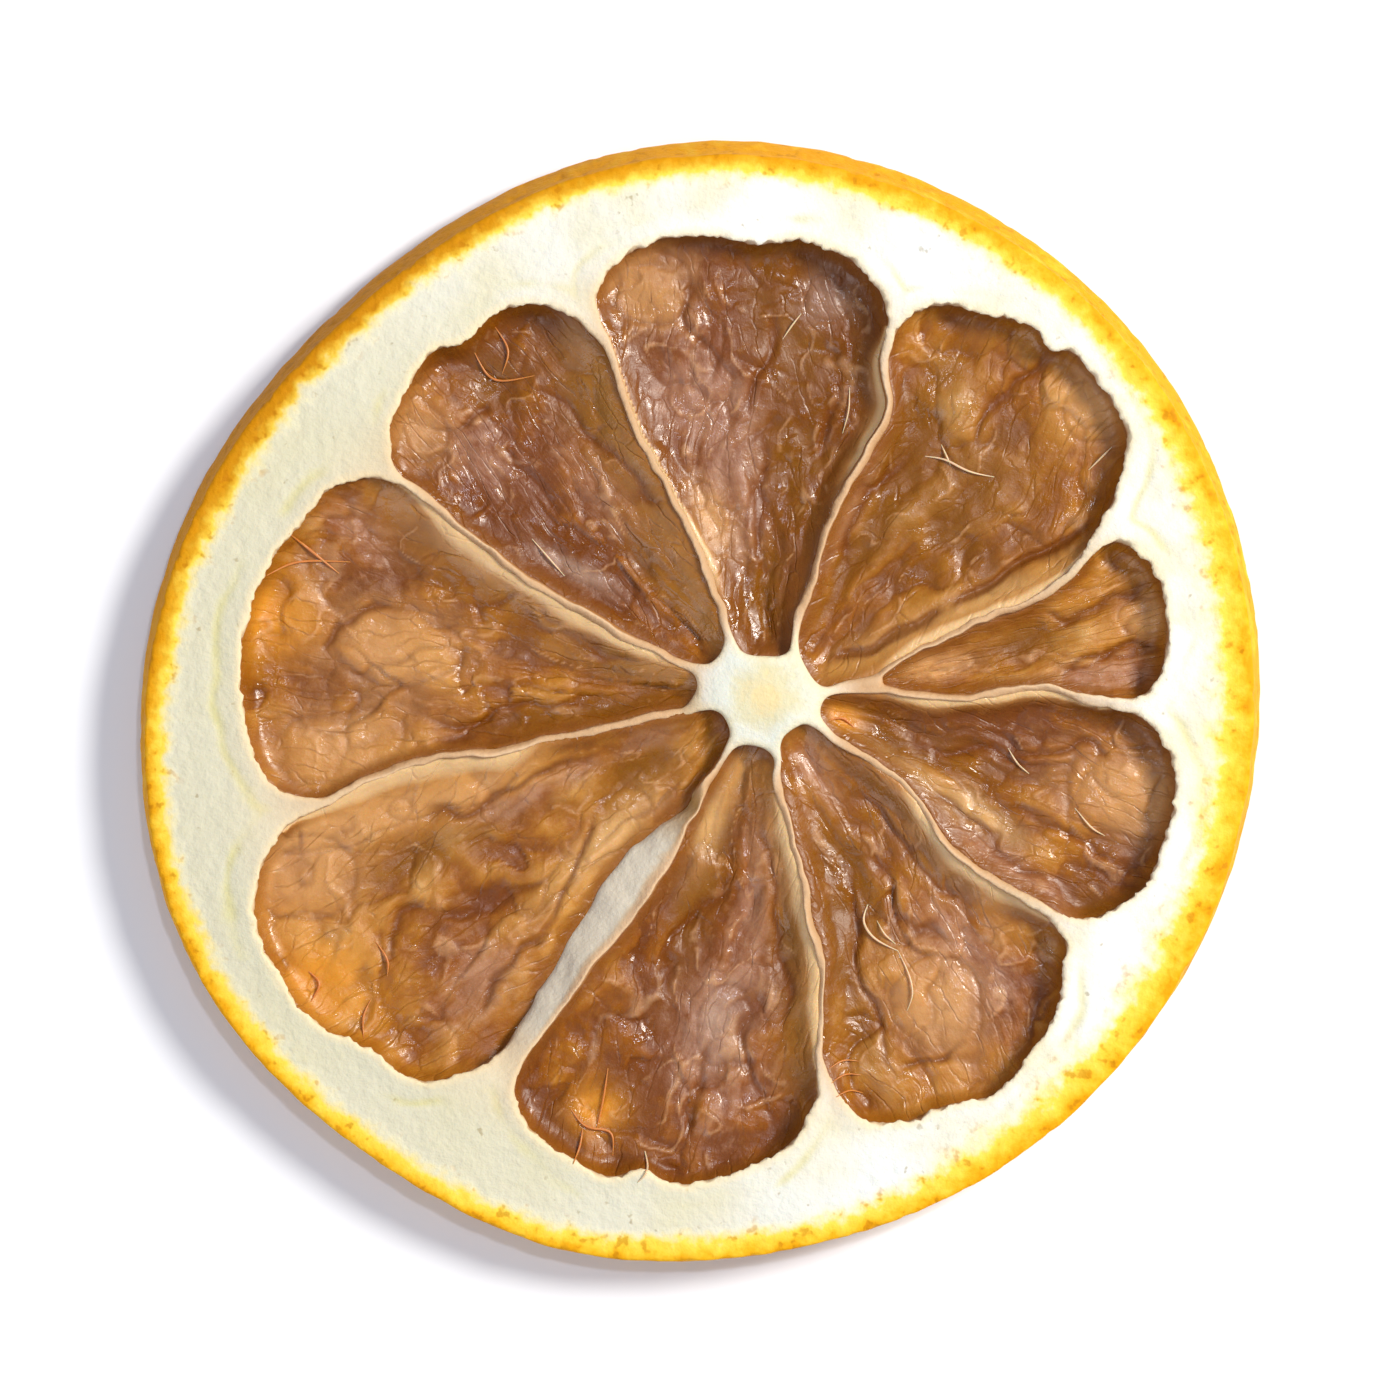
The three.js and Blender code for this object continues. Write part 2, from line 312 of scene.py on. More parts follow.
# Both faces: a gently wavy ring that is lower on one side, membranes that sag below it, and a raised core.
# Fine veins run round the flesh in the pith.
waves = wander(flat_noise, 7.0, 1, 2)
sag = wander(flat_noise, 4.0, 2, 2)
fine = wander(flat_noise, 0.55, 3, 3)
tilt = (0.5 - 0.5 * np.cos(np.radians(bearing - 20))) ** 1.5
top = RING_TOP + 0.1 * waves - 0.08 * ease(1.2, 4.0, skin_depth)
top -= 0.6 * tilt * (1 - ease(0, 5.5, skin_depth))
on_plan = np.column_stack((p[:, :2], np.zeros(len(p))))
vein_depth = 1.0 + 0.5 * wander(on_plan, 3.0, 8, 2)
vein = np.exp(-((edge - vein_depth) / 0.22) ** 2)
vein = vein * (1 - web) * ease(-0.2, 0.4, sag) * ease(1.6, 2.2, skin_depth)
top -= 0.05 * vein
keep(skeleton, "vein", vein * (rise > 0.5))
# The pith on the left, away from the key light, is painted greyer as shade.
keep(skeleton, "painted_shade_side", ease(0.3, 0.85, 0.5 - 0.5 * np.cos(np.radians(bearing - 15))))

# A membrane's crest slopes to one side or the other. First, how far each point is from the middle of its
# membrane, anticlockwise.
beside = np.full(len(p), 9.0)
for index in range(len(SEGMENTS)):
    end = membrane_line(index, 1)[2]
    line = membrane_line(index, np.clip((core_distance - CORE_RADIUS) / (end - CORE_RADIUS), 0, 1))[0]
    off = np.radians((core_bearing - line + 180) % 360 - 180) * core_distance
    beside = np.where(np.abs(off) < np.abs(beside), off, beside)
cant = np.clip(1.6 * wander(on_plan, 6.0, 7, 2), -1, 1)
slope_face = np.clip(0.5 - cant * np.clip(beside / 0.25, -1, 1), 0, 1) * web * ease(2.6, 4.0, core_distance)
by_core = 1 - ease(1.5, 4.0, core_distance)
top_web = MEMBRANE_TOP + 0.2 * sag + CORE_RISE * by_core - 0.22 * slope_face
top = top * (1 - web) + top_web * web
bottom = 0.03 + 0.03 * waves
bottom_web = MEMBRANE_FOOT + 0.1 * sag - 0.1 * by_core
bottom = bottom * (1 - web) + bottom_web * web

# The seventh membrane leans: its upper edge stays on one side, and its pale face slopes down to the other.
share = np.clip((core_distance - CORE_RADIUS) / (membrane_line(LEANING, 1)[2] - CORE_RADIUS), 0, 1)
lean_bearing, lean, _ = membrane_line(LEANING, share)
half = np.degrees(MEMBRANE / 2 / np.maximum(core_distance, 1))
down = np.clip((lean_bearing + half - core_bearing) / (2 * half + lean), 0, 1)
on_lean = (np.abs(core_bearing - lean_bearing + lean / 2) < half + lean / 2 + 2) * ease(0.5, 3, lean)
top -= on_lean * LEAN_DROP * down ** 1.3
keep(skeleton, "pale_face", on_lean * ease(0.15, 0.3, down))

# Lips: where the ring meets the flesh, its upper edge is drawn out a little and frayed.
teeth = sum(np.exp(-((p[:, 0] - x) ** 2 + (p[:, 1] - y) ** 2) / 0.28 ** 2) for x, y in LIP_TEETH)
lip = np.exp(-edge / 0.25) * ease(0.75, 1.0, rise) * (1 - web)
top += 0.1 * np.exp(-edge / 0.5) * (1 - web)
inner = np.array([loop.mean(axis=0) for loop in segment_loops])[close // LOOP_POINTS] - p[:, :2]
inner /= np.linalg.norm(inner, axis=1, keepdims=True)
fray = wander(flat_noise, 0.8, 4, 3) + 0.8 * wander(flat_noise, 0.4, 9, 2)
p[:, :2] += inner * (lip * (0.06 + 0.2 * fray + 0.9 * teeth))[:, None]

# Membranes are thinner at their upper and lower edges than at half height, and waver.
ahead = np.vstack([np.roll(loop, -1, axis=0) - np.roll(loop, 1, axis=0) for loop in segment_loops])
off_flesh = np.stack((ahead[:, 1], -ahead[:, 0]), 1) / np.linalg.norm(ahead, axis=1, keepdims=True)
thin = web * ease(0.35, 0.8, np.abs(2 * rise - 1)) * ease(CORE_RADIUS, CORE_RADIUS + 3, core_distance)
p[:, :2] += off_flesh[close] * (CREST_THINNING * thin * np.exp(-(edge / 0.16) ** 2))[:, None]
crosswise = np.stack((-from_middle[:, 1], from_middle[:, 0]), 1) / np.maximum(core_distance, 1)[:, None]
p[:, :2] += crosswise * (waver(p) * web * rise)[:, None]

# The side wall: leans in towards the top, is rounded under, and has the dimples of dried oil glands.
band = SKIN_BAND + SKIN_SWAY * np.cos(np.radians(core_bearing - SKIN_WIDEST))
outward = p[:, :2] / np.maximum(np.hypot(p[:, 0], p[:, 1]), 1)[:, None]
at_side = 1 - ease(0.0, 2.4, skin_depth)
lean = np.clip(0.35 + 0.4 * np.cos(np.radians(bearing - 85)), 0.03, None)
lean_in = lean * ease(0.3, 1.0, rise) + 0.9 * (1 - ease(0.0, 0.4, rise)) ** 1.5
p[:, :2] -= outward * ((lean_in + WALL_TUCK) * at_side)[:, None]
p[:, 2] = bottom + rise * (top - bottom)
glands = np.array([noise.voronoi(Vector(q) / GLAND_SPACING)[0][0] for q in p.tolist()])
on_skin = 1 - ease(0.05, 0.5, skin_depth)
dimple = (1 - ease(0.0, 0.42, glands)) * on_skin
ripple = wander(p, 1.5, 6, 2)
p[:, :2] -= outward * (GLAND_DEPTH * dimple - 0.05 * ripple * on_skin)[:, None]
p[:, 2] += 0.025 * fine * (rise > 0.5) * (1 - 0.5 * web)
p[:, 2] = np.clip(p[:, 2], 0, HIGHEST)

keep(skeleton, "skin_depth", skin_depth)
yellow = band - lean + 0.3 + 0.25 * np.cos(np.radians(bearing - 80))
for at, wider, spread in ((145, 0.5, 35), (340, 0.4, 25)):  # where the yellow reaches further in
    yellow += wider * np.exp(-0.5 * (((bearing - at + 180) % 360 - 180) / spread) ** 2)
keep(skeleton, "skin_share", skin_depth / yellow)
# The upper-left side, where the peel is painted a deeper amber: partly its own brown and partly painted
# shade of the side wall, which faces away from the key light.
keep(skeleton, "amber_and_shade_side", np.exp(-0.5 * ((bearing - 136) / 36) ** 2))
keep(skeleton, "flesh_edge", edge)
keep(skeleton, "web", web)
keep(skeleton, "core_distance", core_distance)
keep(skeleton, "slope_face", slope_face * (1 - on_lean))
keep(skeleton, "dimple", dimple)
keep(skeleton, "sunk", np.minimum(top - p[:, 2], p[:, 2] - bottom))
p[:, :2] -= SHIFT
move_to(skeleton, p)
apply_modifier(skeleton, "DECIMATE", ratio=SKELETON_KEPT)
bpy.ops.object.shade_smooth()


def linear(colour):
    """An sRGB hex colour as linear red, green, blue and alpha."""
    parts = [int(colour[i:i + 2], 16) / 255 for i in (1, 3, 5)]
    return tuple(c / 12.92 if c <= 0.04045 else ((c + 0.055) / 1.055) ** 2.4 for c in parts) + (1.0,)


def add_node(tree, kind, values=None, links=None, stops=None, **settings):
    """Adds a node with its own settings, its input values and ramp stops, and links to its inputs."""
    node = tree.nodes.new(kind)
    for name, value in settings.items():
        setattr(node, name, value)
    for number, (place, colour) in enumerate(stops or ()):
        ramp = node.color_ramp.elements
        element = ramp.new(place) if number else ramp[0]  # a new ramp has a stop at 0 and one at 1
        element.position = place
        element.color = linear(colour)
    if stops:
        node.color_ramp.elements.remove(node.color_ramp.elements[-1])
    for socket, value in (values or {}).items():
        node.inputs[socket].default_value = value
    for socket, source in (links or {}).items():
        tree.links.new(source, node.inputs[socket])
    return node


def new_material(name):
    """A material with an empty Principled surface, and the tree and shader to build on."""
    material = bpy.data.materials.new(name)
    material.use_nodes = True
    return material, material.node_tree, material.node_tree.nodes["Principled BSDF"]


# Dried peel: waxy golden skin that fades through pale yellow into dull, spongy white pith. Light sinks a
# little way into it, and it has almost no gloss.
peel, tree, shader = new_material("dried_peel_and_pith")
place = add_node(tree, "ShaderNodeTexCoord").outputs["Object"]
mask = {name: add_node(tree, "ShaderNodeAttribute", attribute_name=name).outputs["Fac"] for name in (
    "skin_depth", "skin_share", "amber_and_shade_side", "painted_shade_side", "dimple", "vein", "flesh_edge", "web",
    "slope_face", "pale_face", "core_distance", "sunk")}
# Patches of 4 mm, the comb of colour that the skin sends into the pith, specks the size of an oil gland, and
# the grain of the pith's foam.
blotch = add_node(tree, "ShaderNodeTexNoise", {
    "Scale": 1 / (4 * MM), "Detail": 4.0}, {"Vector": place}).outputs["Fac"]
comb = add_node(tree, "ShaderNodeTexNoise", {
    "Scale": 1 / (1.0 * MM), "Detail": 3.0, "Roughness": 0.6}, {"Vector": place}).outputs["Fac"]
speck = add_node(tree, "ShaderNodeTexNoise", {
    "Scale": 1 / (0.55 * MM), "Detail": 2.0}, {"Vector": place}).outputs["Fac"]
grain = add_node(tree, "ShaderNodeTexNoise", {
    "Scale": 1 / (0.35 * MM), "Detail": 4.0, "Roughness": 0.6}, {"Vector": place}).outputs["Fac"]


def weighted(parts, offset=0.0):
    """Adds up measures with their weights, in the material that is being made."""
    total = offset
    for socket, weight in parts:
        node = add_node(tree, "ShaderNodeMath", {1: weight}, {0: socket}, operation="MULTIPLY_ADD")
        if isinstance(total, float):
            node.inputs[2].default_value = total
        else:
            tree.links.new(total, node.inputs[2])
        total = node.outputs[0]
    return total


def stain(below, colour, share, strength=1.0):
    """Lays a colour over the one below, by a share that is cut off at 0 and 1."""
    amount = add_node(tree, "ShaderNodeMath", {1: strength}, {
        0: share}, operation="MULTIPLY", use_clamp=True).outputs[0]
    return add_node(tree, "ShaderNodeMix", {7: linear(colour)}, {
        "Factor": amount, 6: below}, data_type="RGBA").outputs[2]


border = weighted(((mask["skin_share"], 0.6), (comb, 0.7), (speck, 0.35), (blotch, 0.35)), -0.7)
pits = weighted(((speck, -1.0), (comb, -0.6)), 0.68)
scuff = weighted(((mask["amber_and_shade_side"], 0.35), (blotch, 0.5), (speck, 2.0), (border, -0.3)), -1.68)
heart = weighted(((mask["core_distance"], 1.0), (comb, 1.6), (grain, 0.6)), -1.1)
# Each fade goes from one share to another while its measure goes from one value to another.
fade = {name: add_node(tree, "ShaderNodeMapRange", {
    "From Min": low, "From Max": high, "To Min": at_low, "To Max": at_high}, {"Value": measure}).outputs[0]
    for name, measure, low, high, at_low, at_high in (
        ("off_the_rim", border, 0.2, 0.55, 0.0, 1.0),
        ("pits", pits, 0.02, 0.1, 0.0, 0.5),
        ("scuffs", scuff, 0.0, 0.3, 0.0, 0.35),
        ("pith", border, 0.45, 0.92, 0.0, 1.0),
        ("pores", speck, 0.7, 0.76, 0.0, 1.0),
        ("by_flesh", mask["flesh_edge"], 0.0, 0.38, 0.75, 0.0),
        ("in_core", mask["core_distance"], 2.2, 4.2, -1.0, 0.0),
        ("core", mask["core_distance"], 2.2, 3.4, 1.0, 0.0),
        ("heart_rim", heart, 1.1, 1.8, 0.6, 0.0),
        ("heart", heart, 0.5, 1.0, 0.75, 0.0),
        ("in_lean", mask["core_distance"], 5.5, 7.8, -1.0, 0.0),
        ("wall", mask["sunk"], 0.05, 0.5, 0.0, 0.9),
        ("off_the_skin", mask["skin_depth"], 0.8, 1.2, -1.0, 0.0))}

skin = add_node(tree, "ShaderNodeValToRGB", links={"Fac": border}, stops=(
    (0.0, "#e8a20a"), (0.1, "#f3b51c"), (0.25, "#f9ca38"), (0.42, "#fad74f"), (0.58, "#f7e08a"),
    (0.75, "#f3eac0"), (0.9, "#f1edd8"))).outputs[0]
# Painted shade with some of the peel's own brown: a deeper amber at the outer edge on the upper-left side.
skin = stain(skin, "#c47e02", weighted((
    (mask["amber_and_shade_side"], 0.9), (fade["off_the_rim"], -0.9), (comb, 0.5)), -0.25))
skin = stain(skin, "#b87408", fade["pits"])
skin = stain(skin, "#8a4f10", fade["scuffs"])
skin = stain(skin, "#cf8a0c", mask["dimple"], 0.3)

pith = add_node(tree, "ShaderNodeValToRGB", links={"Fac": blotch}, stops=(
    (0.36, "#e5e1c8"), (0.46, "#ebe9dc"), (0.54, "#edede6"), (0.64, "#edf0ee"))).outputs[0]
# Painted shade: the pith is greyer on the slice's left, away from the key light.
pith = stain(pith, "#d6d0b0", mask["painted_shade_side"], 0.85)
pith = stain(pith, "#d6cd84", weighted(((mask["vein"], 0.9), (comb, 0.9)), -0.5), 0.7)
pith = stain(pith, "#9b8550", fade["pores"], 0.5)
colour = add_node(tree, "ShaderNodeMix", None, {
    "Factor": fade["pith"], 6: skin, 7: pith}, data_type="RGBA").outputs[2]
colour = stain(colour, "#f3deb0", fade["by_flesh"])

# Membranes are tan, darker where their crest slopes. The core is greenish white with a yellow heart, and the
# leaning membrane's face is brown at the core and pale grey further out.
colour = stain(colour, "#d9b791", weighted(((mask["web"], 1.0), (fade["in_core"], 1.0))))
colour = stain(colour, "#b98a58", mask["slope_face"], 0.75)
colour = stain(colour, "#cdd0b4", weighted(((fade["core"], 1.0), (blotch, 1.6)), -1.2), 0.6)
colour = stain(colour, "#d8cb94", fade["heart_rim"])
colour = stain(colour, "#ead49c", fade["heart"])
colour = stain(colour, "#c39a5c", mask["pale_face"])
colour = stain(colour, "#d6ccb8", weighted(((mask["pale_face"], 1.0), (fade["in_lean"], 1.0))))
colour = stain(colour, "#a4651f", weighted((
    (fade["wall"], 1.0), (fade["off_the_skin"], 1.0), (mask["pale_face"], -1.0))))
tree.links.new(colour, shader.inputs["Base Color"])
shader.inputs["Roughness"].default_value = 0.6
shader.inputs["Specular IOR Level"].default_value = 0.1
shader.inputs["Subsurface Weight"].default_value = 0.12
shader.inputs["Subsurface Radius"].default_value = (1.0, 0.7, 0.4)
shader.inputs["Subsurface Scale"].default_value = 0.4 * MM
foam = weighted(((grain, 1.0), (comb, 0.8)))
bump = add_node(tree, "ShaderNodeBump", {"Strength": 0.6, "Distance": 0.12 * MM}, {"Height": foam})
tree.links.new(bump.outputs[0], shader.inputs["Normal"])
skeleton.data.materials.clear()
skeleton.data.materials.append(peel)
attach(skeleton, "root")
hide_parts("lemon_slice")

# ------------------------------------------------------------
# Flesh.
# Between the membranes the juice sacs have dried to one thin, glossy brown sheet, sunk below the ring on
# both faces. Its creases are the walls of collapsed sacs, which fan out from the core.

FLESH_VOXEL = 0.1
FLESH_START = 1.3  # height of the prism that each sheet is shaped from
FLESH_TUCK = 0.2  # the sheet runs that far into the membranes and the pith
FLESH_TOP = 1.85  # mean height of its upper face
FLESH_FOOT = 0.95  # mean height of its lower face
MEETS_MEMBRANE = 2.52  # height at which it meets a membrane
MEETS_PITH = 2.55
STEEP = 0.6  # flesh that slopes down within less than this is steep
STEEP_DROP = 0.32  # and meets the membrane so much lower
LEFT_CLIMB = 0.35  # how much higher it climbs up the pith on the slice's left
MEMBRANE_RUN = 15.5  # a usual length of a membrane
SACS_ACROSS = 8  # how many sacs lie side by side in a large segment
FIBRE_WIDTH = 1.2  # one step of the fibres' pattern across them
FIBRE_LENGTH = 3.2  # one step of it along them

# For each segment: how gently the flesh slopes down from the membrane before it, from the pith and from the
# membrane after it, and the height where it meets that last one; then its patches of other colour; then
# its folds. A patch is a kind, the bearing and distance of its middle from the core, its half length
# outwards and its half width. A fold runs from one bearing and distance to another, and ends with its depth.
FLESH = (
    ((0.35, 0.3, 0.4, 2.55), (
        ("peach", 10, 7.5, 1.5, 0.5), ("ochre", 12, 11.5, 2.2, 0.7), ("peach", 12, 17, 1.2, 0.7),
        ("plum", 3, 15, 2.0, 0.7)),
     ((7, 12, 9, 18, 1), (16, 12, 14, 18, 1))),
    ((1.1, 0.35, 0.4, 2.55), (
        ("tan", 22.5, 10.5, 5.0, 0.55), ("ochre", 61, 14, 4.0, 1.0), ("ochre", 57, 8.5, 4.0, 0.5),
        ("plum", 66, 9, 4.0, 0.5), ("peach", 41, 19, 1.5, 1.2), ("ochre", 45, 12, 4.0, 2.5)),
     ((31, 3.0, 25.5, 9, 2.6), (25.5, 8.5, 27.5, 16.5, 2.6), (50, 14, 51, 19.5, 1), (60, 6, 62, 13, 1))),
    ((0.5, 0.35, 0.7, 2.55), (
        ("plum", 102, 13, 4.5, 2.0), ("plum", 95, 9, 3.0, 0.9), ("ochre", 81, 12, 6.0, 2.0),
        ("ochre", 90, 4.6, 1.5, 0.7), ("peach", 107, 8, 1.6, 0.8), ("peach", 106, 18.5, 1.5, 1.6),
        ("pale", 81.5, 17.5, 0.9, 0.9), ("ochre", 89, 18, 2.0, 1.2)),
     ((88, 5, 92, 12, 1), (92, 12, 89, 17, 1), (75, 10.5, 77, 14.5, 1), (99, 14, 101, 19, 1))),
    ((1.3, 0.35, 0.4, 2.55), (
        ("ochre", 120.5, 14.5, 4.5, 1.3), ("ochre", 130, 6.0, 2.5, 0.8), ("plum", 128, 11.5, 3.0, 1.0),
        # The thin pale patch beside the membrane is a painted highlight: a glint along it.
        ("plum", 139, 16.5, 2.0, 1.2), ("pale", 146.5, 9.8, 1.6, 0.35), ("peach", 143, 19.5, 1.6, 1.5),
        ("ochre", 131, 18, 1.2, 1.2)),
     ((121, 8, 125, 18, 1), (132, 17, 139, 17.5, 1), (135, 12, 138, 16, 1))),
    ((1.2, 0.35, 0.4, 2.55), (
        ("ochre", 155, 13, 5.0, 1.2), ("ochre", 163, 6.5, 3.0, 1.0), ("plum", 157, 19.3, 2.0, 1.2),
        ("orange", 170.5, 21.8, 1.5, 1.5), ("peach", 187, 19, 3.0, 1.5), ("peach", 172, 16, 2.5, 1.5),
        ("ochre", 185, 8, 3.5, 0.7)),
     ((158, 6, 161, 15, 1), (168, 5, 164, 12, 1), (182, 7, 184, 16, 1), (166, 17, 176, 20, 1))),
    ((0.7, 0.3, 0.5, 1.9), (
        ("peach", 197, 13.8, 3.0, 0.7), ("peach", 197, 19, 2.5, 0.8), ("plum", 203, 11.5, 4.0, 0.5),
        ("orange", 213, 22.8, 1.6, 2.2), ("peach", 202, 21.5, 2.0, 1.8), ("plum", 225, 17.5, 2.5, 1.6),
        ("ochre", 211, 5.8, 2.5, 0.9), ("tan", 222, 9.5, 2.5, 0.7), ("ochre", 205, 16, 3.0, 0.8),
        ("plum", 198, 5.0, 1.2, 0.6)),
     ((203, 7, 200, 17, 1), (214, 9, 226, 14, 1), (226, 14, 228, 19, 1), (210, 17, 216, 20, 1),
      (218, 12, 214, 18, 1))),
    ((0.4, 0.3, 0.9, 2.55), (
        ("plum", 262, 15, 4.0, 2.4), ("pale", 263, 14.5, 1.6, 1.1), ("ochre", 275.5, 12, 6.0, 0.9),
        ("ochre", 252, 9.5, 3.5, 0.7), ("orange", 248, 19.5, 1.0, 1.0), ("plum", 268, 8, 3.0, 0.7),
        ("tan", 247, 5.2, 2.4, 0.6)),
     ((272, 5, 273, 16, 1), (262, 15, 259, 20, 1), (256, 8, 250, 14, 1), (266, 12, 270, 18, 1))),
    ((0.7, 0.3, 0.8, 2.55), (
        ("ochre", 317, 9.5, 3.5, 1.0), ("ochre", 286, 13, 5.5, 0.9), ("plum", 308, 14.5, 3.0, 2.0),
        # The peach patch at 299 degrees is a painted highlight, where a glint shows.
        ("plum", 303, 4, 1.8, 0.7), ("peach", 299, 15.5, 2.5, 1.5), ("ochre", 296, 9, 3.0, 0.8)),
     ((311, 5, 314, 13, 1), (291, 8, 289, 18, 1), (301, 8, 305, 14, 1), (290, 17, 300, 18, 1))),
    ((0.7, 0.3, 0.6, 2.55), (
        ("ochre", 341, 8, 3.0, 1.0), ("plum", 325, 13.5, 4.0, 0.7), ("orange", 342, 3.4, 0.8, 0.6),
        ("tan", 331, 9.5, 3.0, 0.5), ("ochre", 327, 17.5, 1.6, 1.0), ("peach", 345, 16, 2.5, 1.5)),
     ((331, 6, 326, 15, 1), (342, 6, 347, 14, 1), (350, 10, 351, 16, 1), (336, 11, 337, 17, 1))),
)
SHADES = (0.1, 0.1, -0.5, -0.25, 0.0, 0.15, -0.25, 0.05, -0.2)  # how light each segment is

# Where the pale face of a membrane shows beside the flesh: on which side of the segment (-1 by the membrane
# before it, 1 by the one after it), how wide, and the distances from the core where it starts and ends.
PALE_SLOPES = ((), ((-1, 0.3, 3, 16),), ((-1, 0.35, 8, 18), (1, 0.25, 3, 10)), (), ((-1, 0.65, 2, 19),),
               ((-1, 0.7, 8, 22),), ((1, 0.5, 2, 17),), ((1, 0.55, 5, 17),), ((1, 0.22, 3, 15),))


def place_across(index, bearing, distance):
    """Which way across a segment each point is: 0 at the membrane before it, and 1 at the one after it."""
    share = np.clip((distance - CORE_RADIUS) / MEMBRANE_RUN, 0, 1)
    near, far = membrane_line(index, share)[0], membrane_line(index + 1, share)[0]
    return ((bearing - near + 180) % 360 - 180) / (far - near)


def smoothed(values):
    """A running mean of values round a closed loop."""
    return np.convolve(np.concatenate((values[-12:], values, values[:12])), np.ones(25) / 25, "valid")


flesh_pieces = []
for index, (loop, (slopes, patches, folds)) in enumerate(zip(segment_loops, FLESH)):
    ahead = np.roll(loop, -1, axis=0) - np.roll(loop, 1, axis=0)
    outward_normal = np.stack((ahead[:, 1], -ahead[:, 0]), 1) / np.linalg.norm(ahead, axis=1, keepdims=True)
    sheet = prism(f"flesh_{index + 1}", [loop + outward_normal * FLESH_TUCK], FLESH_START)
    apply_modifier(sheet, "REMESH", mode="VOXEL", voxel_size=FLESH_VOXEL * MM)
    p = places(sheet)
    close, edge = nearest(loop_tree([loop]), p)
    inwards = np.einsum("ij,ij->i", p[:, :2] - loop[close], -outward_normal[close])
    edge = np.where(inwards < 0, -edge, edge)
    from_middle = p[:, :2] - CORE
    core_distance = np.hypot(from_middle[:, 0], from_middle[:, 1])
    core_bearing = np.degrees(np.arctan2(from_middle[:, 1], from_middle[:, 0])) % 360

    # How the sheet meets its surroundings, all along its edge.
    across = place_across(index, core_bearing, core_distance)
    from_loop = loop - CORE
    loop_distance = np.hypot(from_loop[:, 0], from_loop[:, 1])
    loop_bearing = np.degrees(np.arctan2(from_loop[:, 1], from_loop[:, 0])) % 360
    loop_across = place_across(index, loop_bearing, loop_distance)
    by_pith = loop_distance > skin_reach(loop_bearing) - MEMBRANE_END - 0.3
    gentle = np.where(by_pith, slopes[1], np.where(loop_across < 0.5, slopes[0], slopes[2]))
    beside_after = (loop_across > 0.5) & ~by_pith
    meets = np.where(beside_after, slopes[3], np.where(by_pith, MEETS_PITH, MEETS_MEMBRANE))
    meets = meets - STEEP_DROP * (gentle < STEEP) * ~by_pith
    meets = meets + LEFT_CLIMB * by_pith * (1 - ease(-14, 0, loop[:, 0]))
    meets = smoothed(meets)
    slope = smoothed(gentle)[close]
    wide = ease(0.6, 1.0, slope)

    rise = np.clip(p[:, 2] / FLESH_START, 0, 1)
    side = np.where(rise > 0.5, 0.0, 40.0)
    flat = np.column_stack((p[:, :2], side))
    warp = wander(flat, 3.0, 11 + index, 2)
    warp2 = wander(flat, 2.2, 31 + index, 2)

    # Sacs lie fanwise: narrow across the segment and long outwards. The first segment is the small one, and
    # has fewer side by side.
    fan = across * SACS_ACROSS * (1 if index else 0.55)
    sac_place = np.column_stack((
        0.62 * fan + 0.45 * warp, core_distance / 3.6 + 0.4 * warp2, side + index * 7))
    cells = [noise.voronoi(Vector(q)) for q in sac_place.tolist()]
    first = np.array([c[0][0] for c in cells])
    second = np.array([c[0][1] for c in cells])
    centre = np.array([tuple(c[1][0]) for c in cells])
    # Each sac's tone is a steady number from 0 to 1 that comes from its middle.
    tone = np.modf(np.abs(np.sin(centre @ np.array((12.9898, 78.233, 37.719))) * 43758.5453))[0]
    between_sacs = 1 - ease(0.0, 0.13, second - first)
    pillow = ease(0.0, 0.5, second - first)

    # Long pleats, round lumps, small knots, and the fine raised lines that the sacs' veins have left.
    crackle = ease(2, 9, core_distance) * (0.25 + 0.75 * ease(-0.5, 0.5, warp2))
    pleat_place = np.column_stack((fan * 0.9 + 0.4 * warp, core_distance / 9, side + index))
    lump_place = np.column_stack((p[:, :2] + 0.7 * warp[:, None], side))
    knot_place = np.column_stack((fan * 1.1 + 0.5 * warp2, core_distance / 1.1, side))
    vein_place = np.column_stack((fan * 0.55 + 0.5 * warp, core_distance / 5.0 + 0.3 * warp2, side))
    pleats = wander(pleat_place, 1.0, 71, 2)
    lumps = wander(lump_place, 2.4, 91 + index, 2)
    knots = wander(knot_place, 1.0, 111 + index, 3)
    vein = wander(vein_place, 1.0, 131 + index, 2)
    line = np.exp(-(vein / 0.05) ** 2) * ease(-0.5, 0.2, knots)

    kinds = {kind: np.zeros(len(p)) for kind in ("ochre", "plum", "peach", "orange", "tan", "pale")}
    outline = np.zeros(len(p))
    for kind, bearing, distance, length, width in patches:
        turn = np.radians((core_bearing - bearing + 180) % 360 - 180)
        out, off = core_distance * np.cos(turn) - distance, core_distance * np.sin(turn)
        spot = np.exp(-0.7 * ((out / length) ** 2 + ((off + 0.25 * warp) / width) ** 2) - 0.5 * lumps)
        if kind in ("peach", "pale"):
            outline = np.maximum(outline, np.exp(-((spot - 0.45) / 0.05) ** 2))
        kinds[kind] += spot
    fold = np.zeros(len(p))
    for bearing0, distance0, bearing1, distance1, depth in folds:
        a, b = from_core(bearing0, np.array(distance0)), from_core(bearing1, np.array(distance1))
        wobble = p[:, :2] + 0.9 / depth * np.column_stack((warp, warp2))
        along = np.clip(((wobble - a) @ (b - a)) / ((b - a) @ (b - a)), 0, 1)
        off = np.linalg.norm(wobble - a - along[:, None] * (b - a), axis=1)
        runs = ease(0, 0.2, along) * (1 - ease(0.75, 1, along))
        fold = np.maximum(fold, depth * np.exp(-(off / 0.2) ** 2) * runs)

